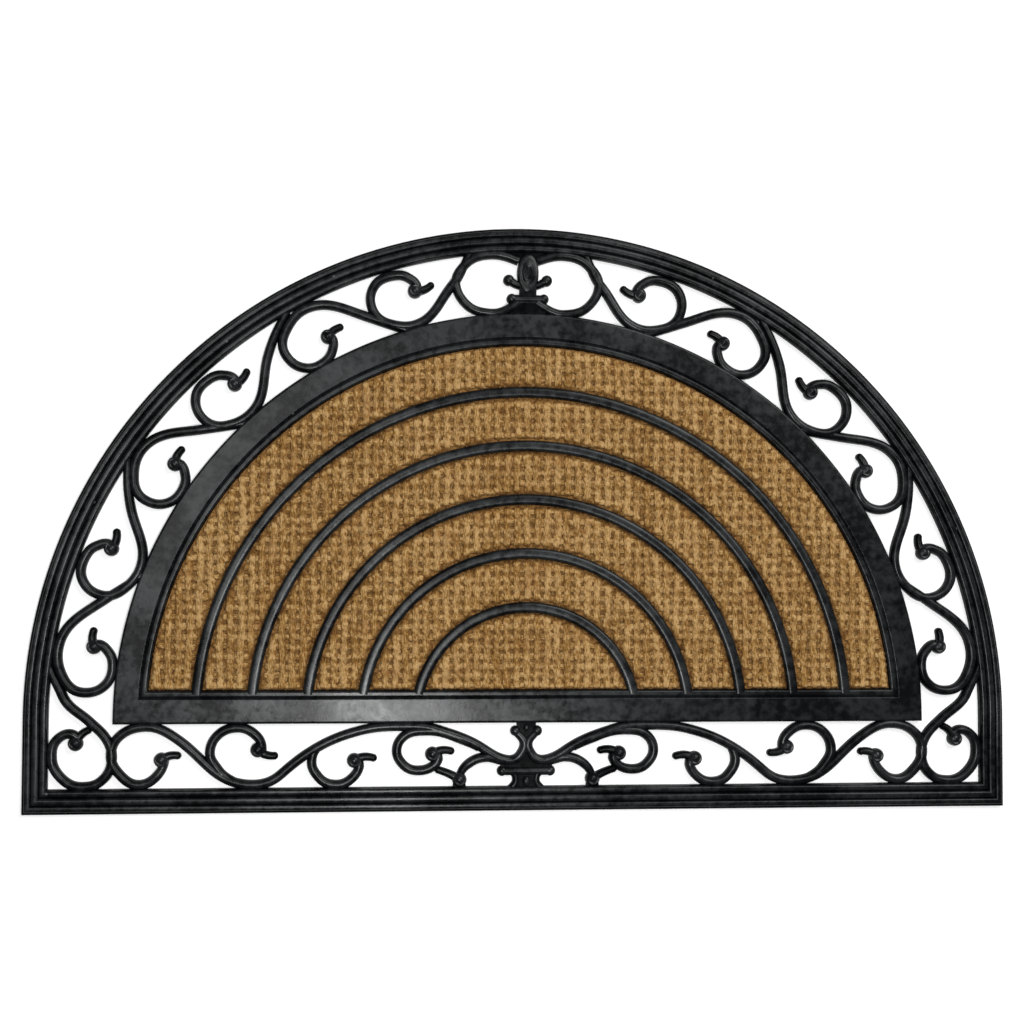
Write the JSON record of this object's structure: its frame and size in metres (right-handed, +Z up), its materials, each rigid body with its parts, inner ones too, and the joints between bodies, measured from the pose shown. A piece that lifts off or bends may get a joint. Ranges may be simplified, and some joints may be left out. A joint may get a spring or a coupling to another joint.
{
  "type": "doormat",
  "caption": "Half-round doormat: a flat black rubber moulding with an open scrollwork edge round a woven coir panel that is crossed by arched rubber ribs.",
  "frame": {"origin": "middle of the mat's box at its underside", "axes": "+X along the straight edge, +Y towards the top of the arch, +Z up out of the mat's top side"},
  "size_m": [0.75, 0.445, 0.0085],
  "materials": {
    "rubber": "near-black moulded rubber with a soft satin sheen",
    "coir": "matte golden-brown coir cord, coarsely woven"
  },
  "bodies": {
    "root": {"rubber_moulding": "rubber", "coir_panel": "coir"}
  },
  "joints": []
}
